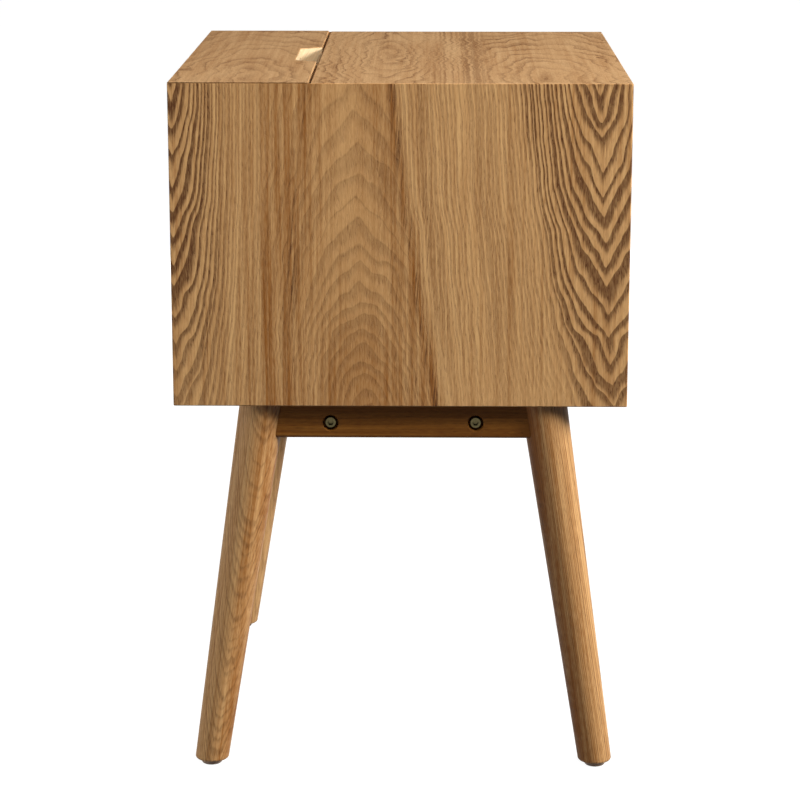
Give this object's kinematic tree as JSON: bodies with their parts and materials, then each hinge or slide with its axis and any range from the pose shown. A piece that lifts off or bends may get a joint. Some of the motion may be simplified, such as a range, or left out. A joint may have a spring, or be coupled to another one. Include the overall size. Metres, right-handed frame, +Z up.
{
  "type": "bedside cabinet",
  "caption": "Mitred wooden box on splayed, tapered legs, with drawers in front and a lidded cable bay at the rear that opens by a trapezoid notch.",
  "frame": {"origin": "on the floor, under the middle of the box", "axes": "+Z up, -Y out of the front where the drawers open, +X towards the right side as seen from the front"},
  "size_m": [0.45, 0.4065, 0.6308],
  "materials": {
    "ash_upright": "oiled ash, grain up and down",
    "ash_across": "oiled ash, grain from side to side",
    "ash_front": "oiled ash drawer fronts, grain from side to side",
    "ash_leg": "oiled turned ash, grain along the leg",
    "ash_rail": "oiled ash, grain along the rail",
    "drawer_wood": "pale clear-finished solid wood",
    "plywood": "clear-finished veneered plywood",
    "beech_dowel": "bare beech",
    "zinc_steel": "zinc-plated steel",
    "zinc_screw": "zinc-plated steel",
    "brass": "brushed brass",
    "glide_plastic": "brown nylon",
    "pad": "soft brown polymer"
  },
  "bodies": {
    "cabinet": {"back_panel": "plywood", "back_panel_screws": "zinc_screw", "barrel_nuts": "zinc_steel", "bottom_panel": "ash_across", "carcase_dowels": "beech_dowel", "cross_rail_front": "ash_rail", "cross_rail_rear": "ash_rail", "divider_panel": "ash_across", "drawer_rail": "ash_across", "drawer_stop_pegs": "beech_dowel", "fixed_leaf_screws": "brass", "fixed_top": "ash_across", "frame_bolts": "zinc_steel", "frame_dowels": "beech_dowel", "frame_screws": "zinc_screw", "glide_front_left": "glide_plastic", "glide_front_right": "glide_plastic", "glide_rear_left": "glide_plastic", "glide_rear_right": "glide_plastic", "hinge_rail": "ash_across", "left_hinge_fixed_leaf": "brass", "left_hinge_pin": "brass", "leg_front_left": "ash_leg", "leg_front_right": "ash_leg", "leg_rear_left": "ash_leg", "leg_rear_right": "ash_leg", "lid_rest_pads": "pad", "lower_left_runner": "drawer_wood", "lower_right_runner": "drawer_wood", "mitre_tongues": "beech_dowel", "right_hinge_fixed_leaf": "brass", "right_hinge_pin": "brass", "runner_screws": "zinc_screw", "side_panel_left": "ash_upright", "side_panel_right": "ash_upright", "side_rail_left": "ash_rail", "side_rail_right": "ash_rail", "upper_left_runner": "drawer_wood", "upper_right_runner": "drawer_wood"},
    "lid": {"lid": "ash_across", "left_hinge_moving_leaf": "brass", "right_hinge_moving_leaf": "brass", "moving_leaf_screws": "brass"},
    "upper_drawer": {"upper_drawer_back": "drawer_wood", "upper_drawer_bottom": "plywood", "upper_drawer_dowels": "beech_dowel", "upper_drawer_front": "ash_front", "upper_drawer_left_side": "drawer_wood", "upper_drawer_right_side": "drawer_wood"},
    "lower_drawer": {"lower_drawer_back": "drawer_wood", "lower_drawer_bottom": "plywood", "lower_drawer_dowels": "beech_dowel", "lower_drawer_front": "ash_front", "lower_drawer_left_side": "drawer_wood", "lower_drawer_right_side": "drawer_wood"}
  },
  "joints": [
    {"name": "lid_hinge", "type": "hinge", "parent": "cabinet", "child": "lid", "pos_m": [0, 0.2035, 0.6124], "axis": [-1, 0, 0], "range_deg": [0, 100]},
    {"name": "upper_drawer_slide", "type": "slide", "parent": "cabinet", "child": "upper_drawer", "axis": [0, -1, 0], "range_m": [0, 0.186]},
    {"name": "lower_drawer_slide", "type": "slide", "parent": "cabinet", "child": "lower_drawer", "axis": [0, -1, 0], "range_m": [0, 0.186]}
  ]
}
